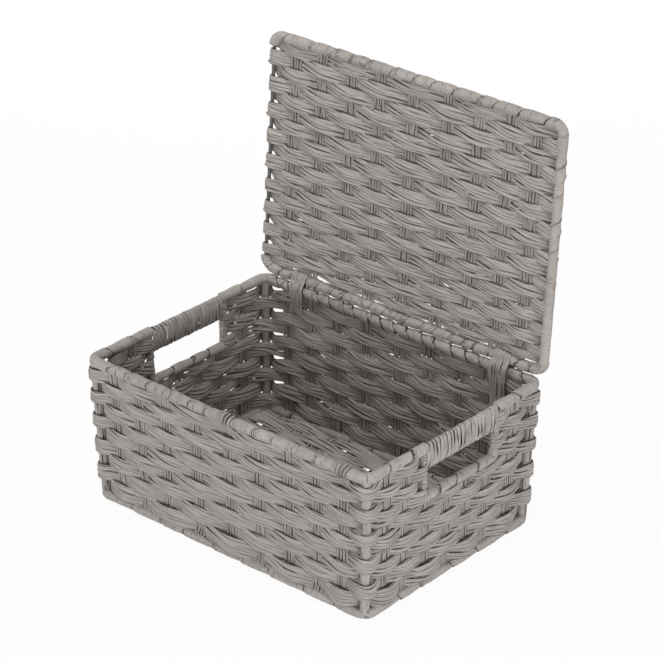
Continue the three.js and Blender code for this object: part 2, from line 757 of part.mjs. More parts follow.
const basket = new THREE.Group();
addFrame(basket);
addWeave(basket);
addBindings(basket);
const lid = new THREE.Group();
addLid(lid);
lid.position.set(0, rimDepth / 2 + hingeSetback, baseHeight + wallHeight + hingeRise);
lid.rotation.x = Math.PI / 2 - lidLean;
basket.add(lid);

// The origin is under the middle of the whole thing as it stands, lid open
basket.updateMatrixWorld(true);
const box = new THREE.Box3().setFromObject(basket, true);
const middle = box.getCenter(new THREE.Vector3());
basket.position.set(-middle.x, -middle.y, -box.min.z);

export default basket;
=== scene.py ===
"""Woven cord, finishes, light and camera for the lidded storage basket.

Lengths here are millimetres in the frame's own axes; a mesh is turned to metres when it is made.
"""
import json
import math
from functools import partial

import bpy
import numpy as np
from mathutils import Matrix, Vector


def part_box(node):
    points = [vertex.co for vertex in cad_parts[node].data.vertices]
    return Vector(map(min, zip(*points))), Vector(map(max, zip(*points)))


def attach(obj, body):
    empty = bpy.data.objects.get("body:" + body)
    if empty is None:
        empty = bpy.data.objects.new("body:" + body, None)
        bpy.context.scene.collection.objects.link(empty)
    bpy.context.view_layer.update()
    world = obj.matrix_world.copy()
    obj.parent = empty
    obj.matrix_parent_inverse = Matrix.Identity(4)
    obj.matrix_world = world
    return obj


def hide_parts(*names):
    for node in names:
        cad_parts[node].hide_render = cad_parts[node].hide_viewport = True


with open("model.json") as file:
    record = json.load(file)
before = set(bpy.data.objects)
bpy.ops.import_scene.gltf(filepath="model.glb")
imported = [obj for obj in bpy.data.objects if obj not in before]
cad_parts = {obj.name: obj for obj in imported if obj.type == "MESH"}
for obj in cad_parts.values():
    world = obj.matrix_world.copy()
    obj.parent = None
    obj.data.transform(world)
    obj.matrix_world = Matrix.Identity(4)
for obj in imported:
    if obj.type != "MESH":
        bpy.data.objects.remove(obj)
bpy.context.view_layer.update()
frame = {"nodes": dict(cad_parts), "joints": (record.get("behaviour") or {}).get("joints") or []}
MM = 0.001
rng = np.random.default_rng(7)


def box(node):
    """Lowest and highest corner of a node, in millimetres."""
    low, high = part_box(node)
    return np.array(low) / MM, np.array(high) / MM


# The frame: wires, walls, hinge
WIRE = 2.0  # radius of the frame wire
CORNER = 10.0  # radius of the rim and base loops at their corners
POST_INSET = 2.93  # a corner post's centre, in from both wall planes
rim_box, base_box = box("rim_wire"), box("base_wire")
middle = (rim_box[0] + rim_box[1]) / 2
rim_z = middle[2]
base_z = (base_box[0][2] + base_box[1][2]) / 2
rim_half = (rim_box[1] - rim_box[0])[:2] / 2 - WIRE
base_half = (base_box[1] - base_box[0])[:2] / 2 - WIRE
hinge = np.array(frame["joints"][0]["pos_m"]) / MM
LID_LEAN = math.radians(4)  # past upright, as the lid stands open
LID_CORNER = 11.0
LID_LENGTH, LID_DEPTH = 355.0, 244.0

# Hand slots
SLOT_LENGTH = 104.8  # between the middles of the slot's side bars
SLOT_SETBACK = 7.4  # its middle behind the wall's
GRIP_DROP = 19.0  # rim wire to the slot's top bar
SLOT_DROP = 53.0  # rim wire to the slot's lower bar
GRIP_TURNS, GRIP_RADIUS = 21, WIRE + 1.1
bar_z = rim_z - SLOT_DROP
bar_shares = [0.5 + (SLOT_SETBACK + end * SLOT_LENGTH / 2) / (2 * rim_half[1]) for end in (-1, 1)]

# Stakes and rows, as in the frame, in shares of a wall or of the lid
LONG_STAKES = [0.091, 0.178, 0.280, 0.390, 0.515, 0.621, 0.731, 0.830, 0.920]
OUTER_STAKES = [0.119, 0.216, 0.859]
SLOT_STAKES = [0, 0.35, 0.68, 1]
LID_STAKES = [0.083, 0.178, 0.288, 0.386, 0.504, 0.625, 0.731, 0.833, 0.917]
LID_ROWS = [  # where one row ends and the next starts, from the free edge down
    0.064, 0.120, 0.1765, 0.234, 0.2885, 0.343, 0.399, 0.456, 0.511,
    0.563, 0.616, 0.6665, 0.7145, 0.762, 0.8095, 0.8565, 0.9005, 0.9395,
]
LONG_WIDTH, SHORT_WIDTH = 14.0, 13.0
CUT_ROWS, RING_ROWS = range(1, 5), range(5, 11)  # wall rows that the slots cut through, and the others
UNDER_SLOT = range(3, 7)  # a side wall's stakes that hang from the slot's lower bar
BESIDE_TIES = (1, 2, 8, 9)  # stakes of the lid
FLOOR_ROWS = 16
ROWS_PER_STRAND = 4
ROW_GAP = 0.6  # between a wall's rows in the frame
ROW_START = 7.5  # rail to the nearest row's edge
FLOOR_START = 5.2  # and on the floor, where the rows lie against the rail
TIE_REACH = 8.5  # and beside a hinge tie
slot_inset = (WIRE + 0.6 + SHORT_WIDTH / 2) / (2 * rim_half[1])
slot_span = bar_shares[1] - bar_shares[0] - 2 * slot_inset
slot_stakes = [bar_shares[0] + slot_inset + share * slot_span for share in SLOT_STAKES]
short_stakes = OUTER_STAKES[:2] + slot_stakes + OUTER_STAKES[2:]
row_nodes = [f"weaver_front_{row}" for row in CUT_ROWS] + [f"weaver_ring_{row}" for row in RING_ROWS]
row_edges = [(box(node)[0][2] - ROW_GAP / 2, box(node)[1][2] + ROW_GAP / 2) for node in row_nodes]

# Cord
STRANDS = 9  # in one weaver, laid as a flattened loose rope
REACH = 1.29  # past 1, so that some strand always lies along each edge of the weaver
STAKE_STRANDS = 4
STRAND_HALF = 0.5  # half thickness of one flat strand
STRAND_SHARE = 0.265  # its half width, of the weaver's
LAP = 0.24  # radians that a strand leans over the next one down
SWING = 2.5  # a weaver's middle off the panel's plane, where it crosses a stake
DEPTH = 0.85  # its strands off its own middle
BAND = 4.7  # radius of the cord round a post
BAR_BAND = 3.3  # and round a slot's side bar, under the rows' turns
PAST_POST, BEHIND_POST = BAND + 1.3, BAND + 1.2  # from a post's middle to a row's, outside and inside
PINCH = 0.56  # half width in rows of a row that goes round a post
PINCH_DROP = 2.0  # how far it dips on the outside of one
BAR_TURN = 3.4  # radius of a row's turn round a side bar
BEND = 3.3  # a stake's bend round the base wire, under the rail's winding
OVER = 6.0  # and one over the rim, in sight
NECK = 3.0  # from a rail's middle to where a stake starts to narrow

# Windings along the rails
COVER = 5.0  # radius
RAIL = {"radius": COVER, "pitch": 27.0, "slant": 3.0}
# The hinge rail and the lid's right edge have fainter painted shade in their windings' grooves and creases
HINGE_RAIL = {"radius": COVER + 0.4, "pitch": 17.0, "slant": 4.0, "bulge": 0.4, "painted_shade_strength": 0.9}
BASE_RAIL = {"radius": COVER - 0.4, "pitch": 37.0}
SLOT_BAR = {"radius": COVER - 0.4, "pitch": 24.0}
LID_EDGE = {"radius": COVER - 0.2, "pitch": 24.0, "bulge": 0.05, "step_down": 0.3, "painted_shade_strength": 0.35}
RIPPLE = 2.6  # from one crease in a turn to the next
RAIL_SAG = 1.3  # the cord hangs under the lid's rear wire, almost down on the rim
SAG_EASE = 9.0  # over this length beside a tie


def unit(vectors):
    return vectors / np.linalg.norm(vectors, axis=-1, keepdims=True)


def spoke(one, two, degrees):
    """The direction this many degrees from one towards two, which is at right angles to it."""
    turn = math.radians(degrees)
    return one * math.cos(turn) + two * math.sin(turn)


def half_sides(z):
    """Half length and half depth of the wall planes at a height."""
    return base_half + (rim_half - base_half) * (z - base_z) / (rim_z - base_z)


UP, BACK = np.array([0, 0, 1.0]), np.array([0, 1.0, 0])
WALLS = {"front": (0, 1, -1), "back": (0, 1, 1), "left": (1, 0, -1), "right": (1, 0, 1)}
# A row runs to the camera's right on the two walls seen from outside, and to its left on the others
RUN = {"front": 1, "right": 1, "back": -1, "left": -1}
CORNERS = [(1, -1), (1, 1), (-1, 1), (-1, -1)]  # the one after each wall of RUN


def on_wall(wall, share, z, off=0.0):
    along, across, sign = WALLS[wall]
    half = half_sides(z)
    point = np.array([0.0, 0.0, z])
    point[along] = middle[along] + (2 * share - 1) * half[along]
    point[across] = middle[across] + sign * (half[across] + off)
    return point


def outward(wall):
    _, across, sign = WALLS[wall]
    return np.eye(3)[across] * sign


def post_at(side_x, side_y, z):
    half = half_sides(z) - POST_INSET
    return np.array([middle[0] + side_x * half[0], middle[1] + side_y * half[1], z])


# Curves and skins


def smooth_line(keys, step, closed=False, gain=0):
    """A smooth curve through rows of numbers, the first three a place, at even steps. gain is what the last
    number grows by over one lap of a loop."""
    keys = np.asarray(keys, float)
    if closed:
        lap = np.zeros(keys.shape[1])
        lap[-1] = gain
        keys = np.vstack([keys[-2:] - lap, keys, keys[:3] + lap])
    gaps = np.maximum(np.linalg.norm(np.diff(keys[:, :3], axis=0), axis=1), 1e-3)[:, None]
    knots = np.concatenate([[0], np.cumsum(gaps)])
    slopes = np.diff(keys, axis=0) / gaps
    inner = (slopes[:-1] * gaps[1:] + slopes[1:] * gaps[:-1]) / (gaps[1:] + gaps[:-1])
    tangents = np.vstack([slopes[:1], inner, slopes[-1:]])
    first, last = (knots[2], knots[-3]) if closed else (0, knots[-1])
    at = np.linspace(first, last, max(2, round((last - first) / step)) + 1)
    if closed:
        at = at[:-1]
    i = np.clip(np.searchsorted(knots, at, side="right") - 1, 0, len(gaps) - 1)
    t = (at - knots[i])[:, None] / gaps[i]
    rise = t * t * (3 - 2 * t)
    start, end = t * (1 - t) ** 2 * gaps[i], t * t * (t - 1) * gaps[i]
    return keys[i] * (1 - rise) + keys[i + 1] * rise + tangents[i] * start + tangents[i + 1] * end


def headings(points, closed=False):
    if closed:
        return unit(np.roll(points, -1, axis=0) - np.roll(points, 1, axis=0))
    return unit(np.gradient(points, axis=0))


def lengths(points, closed=False):
    """Distance along a line to each of its points, and its whole length."""
    gaps = np.linalg.norm(np.diff(np.vstack([points, points[:1]]), axis=0), axis=1)
    place = np.concatenate([[0], np.cumsum(gaps)])
    return place[:-1], place[-1] if closed else place[-2]


def wander(place, span, size, wave):
    """A seeded wobble along a line, the same at both ends of a loop."""
    waves = np.maximum(1, np.round(span / (wave * rng.uniform(0.7, 1.6, 4))))
    turns = np.asarray(place)[..., None] * waves * (2 * math.pi / span) + rng.uniform(0, 2 * math.pi, 4)
    return size * np.sin(turns).sum(axis=-1) / 2


def skin(centres, right, out, section, shade, closed=False, wound=False):
    """A closed tube: a ring of (right, out) points at each centre. wound turns the cord's grain round it."""
    rings, corners = section.shape[:2]
    points = centres[:, None] + right[:, None] * section[..., :1] + out[:, None] * section[..., 1:]
    place, span = lengths(centres, closed)
    across = np.linalg.norm(np.diff(np.vstack([section[0], section[0][:1]]), axis=0), axis=1)
    return {
        "points": points.reshape(-1, 3),
        "rings": rings,
        "corners": corners,
        "place": np.append(place, span) if closed else place,
        "across": np.concatenate([[0], np.cumsum(across)]),
        "section": section,
        "shade": np.broadcast_to(shade, (rings, corners)).ravel(),
        "closed": closed,
        "wound": wound,
        "smooth": corners > 6,
        "start": rng.uniform(0, 4000),
    }


def tube_faces(tube, first):
    """Corner numbers of a tube's quads, and of its two end faces."""
    rings, corners = tube["rings"], tube["corners"]
    i = np.arange(rings if tube["closed"] else rings - 1)[:, None]
    k = np.arange(corners)[None]
    here, after = i * corners, ((i + 1) % rings) * corners
    beside = (k + 1) % corners
    quads = np.stack([here + k, here + beside, after + beside, after + k], axis=-1).reshape(-1, 4)
    ends = [] if tube["closed"] else [np.arange(corners)[::-1], (rings - 1) * corners + np.arange(corners)]
    return quads + first, [end + first for end in ends]


def tube_maps(tube, begun, side, row):
    """Texture places of a tube's faces: in millimetres of cord, and laid in rows for a bake."""
    place, across = tube["place"], tube["across"]
    i = np.arange(len(place) - 1)[:, None]
    k = np.arange(tube["corners"])[None]
    u = np.stack(np.broadcast_arrays(place[i], place[i], place[i + 1], place[i + 1]), axis=-1)
    u = np.broadcast_to(u, (len(i), tube["corners"], 4))
    v = np.stack([across[k], across[k + 1], across[k + 1], across[k]], axis=-1)
    v = np.broadcast_to(v, u.shape)
    cord = np.stack([v, u] if tube["wound"] else [u, v], axis=-1) + [tube["start"], 0]
    line = np.floor((begun + place[i]) / side)[..., None]
    lay = np.stack([begun + u - line * side, line * row + v], axis=-1)
    cords, lays = [cord.reshape(-1, 2)], [lay.reshape(-1, 2)]
    for end in [] if tube["closed"] else [0, -1]:
        ring = tube["section"][end][::-1] if end == 0 else tube["section"][end]
        at = begun + place[-1] + (row if end else 0)
        line = math.floor(at / side)
        cords.append(ring + [tube["start"], 0])
        lays.append(ring - ring.min(axis=0) + [at - line * side, line * row])
    return cords, lays


def new_object(name, data):
    made = bpy.data.objects.new(name, data)
    bpy.context.scene.collection.objects.link(made)
    return made


def make_piece(name, tubes, body, slot, *nodes):
    """One object out of tubes, riding on a body in the place of these nodes."""
    row = max(tube["across"][-1] for tube in tubes) + 0.5
    needs = [tube["place"][-1] + (0 if tube["closed"] else 2 * row) for tube in tubes]
    side = math.sqrt(sum(needs) * row) * 1.02
    quads, ends, maps, count, begun = [], [], [], 0, 0.0
    for tube, need in zip(tubes, needs):
        faces, caps = tube_faces(tube, count)
        quads.append(faces)
        ends.extend(caps)
        maps.append(tube_maps(tube, begun, side, row))
        count += len(tube["points"])
        begun += need
    corners = np.concatenate([np.concatenate(quads).ravel()] + ends)
    totals = np.array([4] * sum(map(len, quads)) + [len(end) for end in ends])
    mesh = bpy.data.meshes.new(name)
    mesh.vertices.add(count)
    mesh.vertices.foreach_set("co", (np.concatenate([tube["points"] for tube in tubes]) * MM).ravel())
    mesh.loops.add(len(corners))
    mesh.loops.foreach_set("vertex_index", corners)
    mesh.polygons.add(len(totals))
    mesh.polygons.foreach_set("loop_start", np.concatenate([[0], np.cumsum(totals)[:-1]]))
    mesh.polygons.foreach_set("loop_total", totals)
    mesh.polygons.foreach_set("use_smooth", np.full(len(totals), tubes[0]["smooth"]))
    widest = max(side + 2 * row, (math.floor(begun / side) + 1) * row)
    for label, parts, size in zip(("cord", "OFBake"), zip(*maps), (1, widest)):
        places = [part[0] for part in parts] + [end for part in parts for end in part[1:]]
        layer = mesh.uv_layers.new(name=label)
        layer.data.foreach_set("uv", (np.concatenate(places) / size).ravel())
    # How much painted shade each point takes, in grooves, folds and creases
    shade = mesh.attributes.new("groove", "FLOAT", "POINT")
    shade.data.foreach_set("value", np.concatenate([tube["shade"] for tube in tubes]).astype(np.float32))
    mesh.update(calc_edges=True)
    mesh.materials.append(papers[slot])
    piece = new_object(name, mesh)
    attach(piece, body)
    if nodes:
        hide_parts(*nodes)


def dress(node, tubes, body="basket", slot="binding_cord"):
    """The cord of one node of the frame."""
    make_piece(f"cord_{node}", tubes, body, slot, node)


# One flat strand across, with crisp edges, and how much painted shade each point takes for the groove beside
# it: full at the edges
FLAT = np.array([[1, 0], [0.6, 1], [-0.6, 1], [-1, 0], [-0.6, -1], [0.6, -1]])
FLAT_SHADE = np.array([1, 0, 0, 1, 0, 0])


def key(place, across, half, depth=0.0, loose_and_shaded=0.0, turn=0.0):
    """A station of a bundle: place, direction across, half width, depth, how far its strands stand apart
    (0 to 1) and so how much painted shade darkens them, and degrees gained since the last."""
    return np.concatenate([place, across, [half, depth, loose_and_shaded, turn]])


def line_frame(line, closed=False):
    """A line's points, right, out, distances and whole length, from its places and rough directions."""
    centres = line[:, :3]
    along = headings(centres, closed)
    across = line[:, 3:6]
    across = unit(across - along * (across * along).sum(axis=1, keepdims=True))
    return centres, across, np.cross(along, across), *lengths(centres, closed)


def strand_skin(centre, across, out, tilt, wide, thick, closed=False, fold_and_shade=1.0, shade=0.0):
    right = across * np.cos(tilt) + out * np.sin(tilt)
    face = out * np.cos(tilt) - across * np.sin(tilt)
    section = FLAT[None] * np.concatenate([wide, np.full_like(wide, thick)], axis=1)[:, None]
    # Painted shade: darkest at the strand's edges, for the groove beside the next strand, plus an even
    # painted shade all across it
    return skin(centre, right, face, section, FLAT_SHADE * fold_and_shade + shade, closed)


def laid(keys, strands, step=2.8, thick=0.45, slack=0.35, cover=1.0, fold_and_shade=1.0):
    """Flat strands side by side."""
    line = smooth_line(keys, step)
    centres, across, out, place, span = line_frame(line)
    half, tubes, sway = line[:, 6:7], [], partial(wander, place[:, None], span)
    for j in range(strands):
        share = (2 * j + 1) / strands - 1
        drift = sway(slack, 40)
        wide = half / strands * cover * (1 + sway(0.12, 50))
        lift = sway(0.15, 30) + (0.1 if j % 2 else -0.1)
        tilt = sway(0.2, 35)
        centre = centres + across * (share * half + drift) + out * lift
        tubes.append(strand_skin(centre, across, out, tilt, wide, thick, fold_and_shade=fold_and_shade))
    return tubes


def roped(keys, closed=False, step=3.0, lap=LAP, fold_and_shade=0.85):
    """Broad flat strands that turn slowly about the bundle's middle, half of them on each face, each lapping
    the next like a shingle."""
    keys = np.array(keys)
    gain = 0
    if closed:
        gain = 360 * max(1, round(keys[:, 9].sum() / 360))
        keys[:, 9] *= gain / keys[:, 9].sum()
    keys[:, 9] = np.cumsum(keys[:, 9])
    line = smooth_line(keys, step, closed, gain)
    centres, across, out, place, span = line_frame(line, closed)
    half, depth, loose_and_shaded, turned = np.split(line[:, 6:], 4, axis=1)
    loose_and_shaded, turned = np.clip(loose_and_shaded, 0, 1), np.radians(turned)
    tubes, sway = [], partial(wander, place[:, None], span)
    for j in range(STRANDS):
        angle = turned + (j + rng.uniform(-0.2, 0.2)) * 2 * math.pi / STRANDS + sway(0.14, 70)
        wide = half * STRAND_SHARE * (1 + sway(0.12, 60)) * (1 - 0.1 * loose_and_shaded)
        level = np.clip(REACH * np.arcsin(np.cos(angle)) * 2 / math.pi, -1, 1)
        shift = level * (half - wide) + sway(0.2, 40)
        face = np.clip(2.5 * np.sin(angle), -1, 1)
        lift = face * depth + sway(0.12, 30)
        tilt = -lap * face + sway(0.1, 40)
        centre = centres + across * shift + out * lift
        # Painted shade at the strand's edges, stronger or weaker along it; more painted shade where the
        # strands stand loose, for the dark holes at a float's end
        painted_shade_amount = fold_and_shade * np.clip(1 + sway(0.35, 35), 0.45, 1.15)
        tubes.append(strand_skin(centre, across, out, tilt, wide, STRAND_HALF, closed, painted_shade_amount, 0.25 * loose_and_shaded))
    return tubes


# Weavers of the walls

# At the ends of a float that the camera sees: where from the stake before it to the one after, half width in
# rows, lift, and how loose its strands lie, which also sets how much painted shade darkens them
EMERGE = (0.34, 0.58, 0.0, 1.0)
DIVE = (0.60, 0.58, -0.2, 0.0)
FLOAT = 0.575  # half width in rows, over a stake
# Degrees that the strands turn over a seen float's left half, its right half, and each half of a hidden one
LEFT_HALF, RIGHT_HALF, HIDDEN = 44, 4, 18


def turn_at(seen, rightwards):
    """Degrees gained on the way to a stake."""
    return (LEFT_HALF if rightwards else RIGHT_HALF) if seen else HIDDEN


def turn_between(left_end, rightwards):
    """Degrees gained on the way to the point between two stakes."""
    if left_end:
        return HIDDEN if rightwards else LEFT_HALF
    return RIGHT_HALF if rightwards else HIDDEN


def row_span(row, wall, number):
    low, high = row_edges[row - 1]
    if row == RING_ROWS[0] and wall in ("left", "right") and number in UNDER_SLOT:
        high = bar_z - ROW_START + 2.5
    if row == 1:
        high += 2.0  # the first row's floats reach up under the rim
    return low, high


def stop_at(foot, top, out, height, side, run, **more):
    """Where a row crosses a stake or a post, the row's height there, and the side it passes."""
    stop = {"at": (foot + top) / 2, "up": unit(top - foot), "out": out, "row": height}
    return {**stop, "side": side, "run": run, **more}


def wall_stop(row, wall, share, number):
    low, high = row_span(row, wall, number)
    side, out = -1 if (row + number) % 2 == 0 else 1, outward(wall)
    shift, more = np.zeros(3), 0
    if row == RING_ROWS[-1]:  # the last row hangs over the base rail outside, and lies against it inside
        hangs = side > 0 and not (wall == "front" and number <= 2)
        off, drop, more = (1.6, 2.2, 4.0) if hangs else (0, 1.2, 2.4)
        shift = out * off - UP * drop
    foot, top = on_wall(wall, share, low) + shift, on_wall(wall, share, high) + shift
    return stop_at(foot, top, out, high - low + more, side, RUN[wall])


def corner_stop(row, side_x, side_y):
    low, high = row_span(row, "front", 0)
    side = 1 if row % 2 else -1
    shift = UP * (-PINCH_DROP if side > 0 else 0)
    foot, top = post_at(side_x, side_y, low) + shift, post_at(side_x, side_y, high) + shift
    return stop_at(foot, top, unit(np.array([side_x, side_y, 0.0])), high - low, side, -side_y, post=True)


def bar_stop(row, wall, end):
    """A row's end, turned round a slot's side bar and tucked in behind it."""
    low, high = row_span(row, wall, 0)
    foot, top = on_wall(wall, bar_shares[end], low), on_wall(wall, bar_shares[end], high)
    side, into_slot = -1 if (row + end) % 2 else 1, BACK * (1 - 2 * end)
    return stop_at(foot, top, outward(wall), high - low, side, RUN[wall], into_slot=into_slot)


def stop_keys(stop):
    side, row = stop["side"], stop["row"]
    keys = []
    if stop.get("post") and side > 0:  # round the outside of a corner post
        for degrees in (0, 22.5, 45, 67.5, 90):
            place = stop["at"] + spoke(stop["before"], stop["after"], degrees) * PAST_POST
            keys.append(key(place, stop["up"], PINCH * row, DEPTH, 0, 6))
        return keys
    if stop.get("post"):
        return [key(stop["at"] - stop["out"] * BEHIND_POST, stop["up"], PINCH * row, DEPTH, 0, 20)]
    if "into_slot" in stop:
        for degrees in (0, 45, 90, 135, 180, 235):
            place = stop["at"] + spoke(stop["out"] * side, stop["into_slot"], degrees) * BAR_TURN
            half = 0.58 if degrees < 180 else 0.48
            keys.append(key(place, stop["up"], half * row, 0.5, 0, 8))
        return keys if stop.get("last") else keys[::-1]
    seen = side == stop["run"]
    place = stop["at"] + stop["out"] * side * SWING
    return [key(place, stop["up"], FLOAT * row, DEPTH, 0, turn_at(seen, side > 0))]


def between(one, two):
    """Where a row passes through the panel's plane between two stops."""
    left_end, rightwards = two["side"] > 0, two["run"] > 0
    part, half, lift, loose_and_shaded = EMERGE if left_end else DIVE
    part = part if rightwards else 1 - part
    at = one["at"] * (1 - part) + two["at"] * part
    up = unit(one["up"] + two["up"])
    row = (one["row"] + two["row"]) / 2
    if two.get("post"):  # pinched, with a hole above each row that goes round the outside
        half *= 0.80
        lift -= 1.6 if two["side"] > 0 else 0
    place, half = at + up * (lift + rng.uniform(-0.5, 0.5)), half * row * rng.uniform(0.96, 1.06)
    return key(place, up, half, DEPTH, loose_and_shaded, turn_between(left_end, rightwards))


def weave(stops, closed):
    """A weaver through its stops, over and under."""
    keys = []
    stops[-1]["last"] = True
    for i, stop in enumerate(stops):
        if stop.get("post"):
            stop["before"], stop["after"] = stops[i - 1]["out"], stops[(i + 1) % len(stops)]["out"]
        keys.extend(stop_keys(stop))
        if closed or i < len(stops) - 1:
            keys.append(between(stop, stops[(i + 1) % len(stops)]))
    return roped(keys, closed)


def wall_stops(row, wall, shares, first=0):
    """Where a row crosses a wall's stakes, in the order that it meets them on its way round."""
    stops = [wall_stop(row, wall, share, first + i + 1) for i, share in enumerate(shares)]
    return stops if wall in ("front", "right") else stops[::-1]


def add_wall_weavers():
    for row in CUT_ROWS:
        for half, corner_y, end, first in (("front", -1, 0, 0), ("back", 1, 1, 6)):
            sides = ("left", "right") if half == "front" else ("right", "left")
            shares = short_stakes[first:] if end else short_stakes[:2]
            stops = [bar_stop(row, sides[0], end), *wall_stops(row, sides[0], shares, first)]
            stops += [corner_stop(row, corner_y, corner_y), *wall_stops(row, half, LONG_STAKES)]
            stops += [corner_stop(row, -corner_y, corner_y), *wall_stops(row, sides[1], shares, first)]
            stops += [bar_stop(row, sides[1], end)]
            dress(f"weaver_{half}_{row}", weave(stops, False), slot="weaver_cord")
    for row in RING_ROWS:
        stops = []
        for wall, corner in zip(RUN, CORNERS):
            shares = LONG_STAKES if wall in ("front", "back") else short_stakes
            stops += [*wall_stops(row, wall, shares), corner_stop(row, *corner)]
        dress(f"weaver_ring_{row}", weave(stops, True), slot="weaver_cord")


# Flat panels: the floor and the lid. A panel's own place is (x, y, off its plane).

lid_x, lid_y = np.array([1.0, 0, 0]), np.array([0, math.sin(LID_LEAN), math.cos(LID_LEAN)])
lid_out = np.cross(lid_x, lid_y)


def floor_place(x, y, off):
    return np.array([x, y, base_z + off])


def lid_place(x, y, off):
    return hinge + lid_x * x + lid_y * y + lid_out * off


def floor_row(row, _):
    start = middle[1] - base_half[1] + FLOOR_START
    pitch = (2 * base_half[1] - 2 * FLOOR_START) / FLOOR_ROWS
    return start + (row - 1) * pitch, start + row * pitch


def lid_row(row, number):
    edges = [LID_DEPTH - ROW_START + 2.3, *(LID_DEPTH * (1 - share) for share in LID_ROWS), ROW_START - 0.7]
    low = edges[row]
    if row == len(edges) - 1 and number in BESIDE_TIES:
        low = TIE_REACH
    return low, edges[row - 1]


FLOOR = {
    "place": floor_place, "row": floor_row, "up": BACK, "float": 0.63,
    "stakes": [(2 * share - 1) * base_half[0] for share in LONG_STAKES],
}
LID = {
    "place": lid_place, "row": lid_row, "up": lid_y, "float": FLOAT,
    "stakes": [(share - 0.5) * LID_LENGTH for share in LID_STAKES],
}
WIRE_TURN = WIRE + 1.2  # radius of a lid row's turn round the side wire


def panel_keys(panel, row, forward):
    """One row of a panel from its first stake to its last, over and under."""
    keys = []
    run = 1 if forward else -1
    numbers = range(1, len(panel["stakes"]) + 1)[::run]
    for number in numbers:
        low, high = panel["row"](row, number)
        level, height = (low + high) / 2, high - low
        side = 1 if (row + number) % 2 == 0 else -1
        place = panel["place"](panel["stakes"][number - 1], level, side * SWING)
        keys.append(key(place, panel["up"], panel["float"] * height, DEPTH, 0, turn_at(side > 0, forward)))
        if number != numbers[-1]:
            left, right = sorted((number, number + run))
            left_end = (row + right) % 2 == 0
            part, half, lift, loose_and_shaded = EMERGE if left_end else DIVE
            x = panel["stakes"][left - 1] * (1 - part) + panel["stakes"][right - 1] * part
            place = panel["place"](x, level + lift + rng.uniform(-0.4, 0.4), 0)
            half *= height * rng.uniform(0.96, 1.06)
            keys.append(key(place, panel["up"], half, DEPTH, loose_and_shaded, turn_between(left_end, forward)))
    return keys


# A row's turn at each end: degrees round the wire from behind it, share of the way from the odd row's
# level to the even row's, and half width in rows
LEFT_TURN = [(-90, 0.35, 0.36), (-45, 0.75, 0.45), (0, 1.0, 0.56), (45, 1.0, 0.59), (90, 1.0, 0.59)]
RIGHT_TURN = [(-90, 0.10, 0.50), (-45, 0.30, 0.45), (0, 0.5, 0.45), (45, 0.7, 0.45), (90, 0.90, 0.50)]
APPROACH = 9.0  # how far from the end's wire a row is at its own level and height


def lid_turn(row, side_x, arriving, leaving):
    """The turn at a row's end, from behind the side wire on an odd row to before it on an even one."""
    other = row + 1 if arriving and leaving else row
    odd, even = sorted((row, other), key=lambda number: number % 2 == 0)
    middles = [sum(lid_row(number, 0)) / 2 for number in (odd, even)]
    height = sum(np.diff(lid_row(number, 0))[0] for number in (odd, even)) / 2
    stops = RIGHT_TURN if side_x > 0 else LEFT_TURN
    radius = WIRE_TURN - (0.4 if side_x > 0 else 0)  # the right turns lie under one smooth band
    if (row % 2 == 0) == arriving:
        stops = stops[::-1]
    if not arriving:
        stops = stops[-2:]
    keys = [row_approach(row, side_x)] if arriving else []
    for degrees, part, half in stops:
        place = lid_place(side_x * LID_LENGTH / 2, middles[0] * (1 - part) + middles[1] * part, 0)
        place = place + spoke(lid_x * side_x, lid_out, degrees) * radius
        keys.append(key(place, lid_y, half * height, 0.5, 0, 8))
    if leaving:
        keys.append(row_approach(other, side_x))
    return keys


def row_approach(row, side_x):
    """Where a row leaves its first or last stake's line for the wire at its end."""
    low, high = lid_row(row, 0)
    off = WIRE_TURN * (0.6 if row % 2 == 0 else -0.6)
    place = lid_place(side_x * (LID_LENGTH / 2 - APPROACH), (low + high) / 2, off)
    return key(place, lid_y, 0.60 * (high - low), DEPTH, 0, 20)


def add_lid_weavers():
    rows = len(LID_ROWS) + 1
    for number, first in enumerate(range(1, rows + 1, ROWS_PER_STRAND), 1):
        last = min(first + ROWS_PER_STRAND - 1, rows)
        keys = []
        for row in range(first, last + 1):
            forward = row % 2 == 1
            if row == first:
                keys += lid_turn(row, -1 if forward else 1, False, True)
            keys += panel_keys(LID, row, forward)
            keys += lid_turn(row, 1 if forward else -1, True, row < last)
        dress(f"lid_weaver_{number}", roped(keys, step=2.7), "lid", "weaver_cord")


def add_floor_weavers():
    """The floor's rows, whose ends go into the windings of the base wire."""
    for number, first in enumerate(range(1, FLOOR_ROWS + 1, ROWS_PER_STRAND), 1):
        tubes = []
        for row in range(first, first + ROWS_PER_STRAND):
            low, high = floor_row(row, 0)
            ends = [floor_place(side * base_half[0], (low + high) / 2, 0) for side in (-1, 1)]
            ends = [key(end, FLOOR["up"], 0.62 * (high - low), 0.6, 0, 20) for end in ends]
            tubes += roped([ends[0], *panel_keys(FLOOR, row, True), ends[1]], step=3.6, lap=0.1, fold_and_shade=0.55)
        dress(f"floor_weaver_{number}", tubes, slot="weaver_cord")


# Stakes


def stake_key(place, axis, width):
    return key(place, axis, width / 2)


def straight(start, end, *wide):
    """A stake's straight run between two rails. wide is its direction across and its width."""
    count = max(3, round(np.linalg.norm(end - start) / 16))
    return [stake_key(start + (end - start) * part, *wide) for part in np.linspace(0, 1, count)]


def into_rail(centre, away, axis, width):
    """Where a stake's end goes into a rail's winding."""
    return [stake_key(centre - away * NECK, axis, width), stake_key(centre, axis, width * 0.6)]


